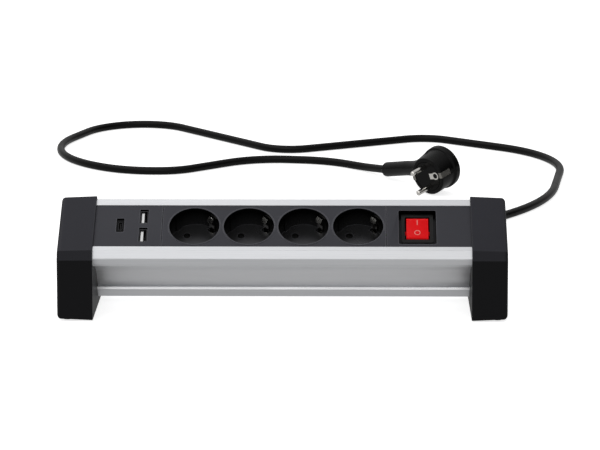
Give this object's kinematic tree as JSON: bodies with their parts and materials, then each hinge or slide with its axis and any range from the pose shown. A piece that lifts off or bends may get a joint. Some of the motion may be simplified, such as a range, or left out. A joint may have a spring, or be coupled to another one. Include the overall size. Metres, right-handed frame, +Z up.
{
  "type": "desk power strip",
  "caption": "Desk power strip: tilted aluminium profile between plastic end caps, earthed socket recesses, USB module, rocker switch, and a cord with angled plug.",
  "frame": {"origin": "on the desk, at the middle of the rectangle the two end caps stand on", "axes": "+X along the strip to the right as the user sees it, +Y away from the user, +Z up"},
  "size_m": [0.5, 0.7579, 0.0862],
  "materials": {
    "anodised_aluminium": "satin anodised, drawn along its length",
    "cap_plastic": "fine spark texture",
    "module_plastic": "fine matt texture",
    "black_plastic": "smooth moulded",
    "plug_plastic": "soft moulded, slight sheen",
    "cord_pvc": "smooth round sheath",
    "foot_rubber": "matt",
    "rocker_red": "translucent glossy",
    "white_plastic": "smooth moulded",
    "port_steel": "nickel-plated sheet",
    "nickel_plate": "nickel-plated",
    "screw_steel": "zinc-plated",
    "contact_brass": "plain strip",
    "board_green": "solder mask",
    "winding_tape": "taped winding",
    "capacitor_sleeve": "shrink sleeve",
    "lamp_glass": "clear",
    "lead_brown": "PVC insulation",
    "lead_blue": "PVC insulation",
    "lead_green": "PVC insulation"
  },
  "bodies": {
    "housing": {"aluminium_profile": "anodised_aluminium", "left_end_cap": "cap_plastic", "right_end_cap": "cap_plastic", "end_cap_screws": "screw_steel", "rubber_feet": "foot_rubber", "cable_gland": "black_plastic", "cord_clamp": "black_plastic", "cord_clamp_screws": "screw_steel", "usb_plate": "module_plastic", "usb_housing": "black_plastic", "usb_a_shells": "port_steel", "usb_a_tongues": "white_plastic", "usb_c_shell": "port_steel", "usb_c_tongue": "black_plastic", "usb_circuit_board": "board_green", "usb_transformer": "winding_tape", "usb_capacitors": "capacitor_sleeve", "socket_block": "module_plastic", "socket_rear_cover": "black_plastic", "rear_cover_screws": "screw_steel", "live_bus_bar": "contact_brass", "neutral_bus_bar": "contact_brass", "earth_bus_bar": "nickel_plate", "shutter_springs": "screw_steel", "switch_plate": "module_plastic", "switch_housing": "black_plastic", "switch_terminals": "contact_brass", "neon_lamp": "lamp_glass", "live_leads": "lead_brown", "neutral_leads": "lead_blue", "earth_lead": "lead_green", "power_cord": "cord_pvc", "plug_body": "plug_plastic", "plug_pin_carrier": "plug_plastic", "plug_pins": "nickel_plate", "plug_earth_clips": "nickel_plate", "plug_earth_tube": "nickel_plate"},
    "rocker": {"switch_rocker": "rocker_red", "rocker_plungers": "white_plastic"},
    "contact_levers": {"contact_levers": "contact_brass"},
    "shutter_1": {"shutter_1": "black_plastic"},
    "shutter_2": {"shutter_2": "black_plastic"},
    "shutter_3": {"shutter_3": "black_plastic"},
    "shutter_4": {"shutter_4": "black_plastic"}
  },
  "joints": [
    {"name": "rocker_tilt", "type": "hinge", "parent": "housing", "child": "rocker", "pos_m": [0.1048, -0.0038, 0.06092], "axis": [1, 0, 0], "range_deg": [-16, 0]},
    {"name": "lever_tilt", "type": "hinge", "parent": "housing", "child": "contact_levers", "pos_m": [0.1048, 0.00261, 0.05066], "axis": [1, 0, 0], "range_deg": [0, 14]},
    {"name": "shutter_1_turn", "type": "hinge", "parent": "housing", "child": "shutter_1", "pos_m": [-0.0688, 0.00134, 0.05099], "axis": [0, -0.5299, 0.848], "range_deg": [0, 45], "stiffness_Nm_per_rad": 0.01},
    {"name": "shutter_2_turn", "type": "hinge", "parent": "housing", "child": "shutter_2", "pos_m": [-0.0263, 0.00134, 0.05099], "axis": [0, -0.5299, 0.848], "range_deg": [0, 45], "stiffness_Nm_per_rad": 0.01},
    {"name": "shutter_3_turn", "type": "hinge", "parent": "housing", "child": "shutter_3", "pos_m": [0.0162, 0.00134, 0.05099], "axis": [0, -0.5299, 0.848], "range_deg": [0, 45], "stiffness_Nm_per_rad": 0.01},
    {"name": "shutter_4_turn", "type": "hinge", "parent": "housing", "child": "shutter_4", "pos_m": [0.0587, 0.00134, 0.05099], "axis": [0, -0.5299, 0.848], "range_deg": [0, 45], "stiffness_Nm_per_rad": 0.01}
  ],
  "couplings": [
    {"joint": "lever_tilt", "follows": "rocker_tilt", "ratio": -0.875}
  ]
}
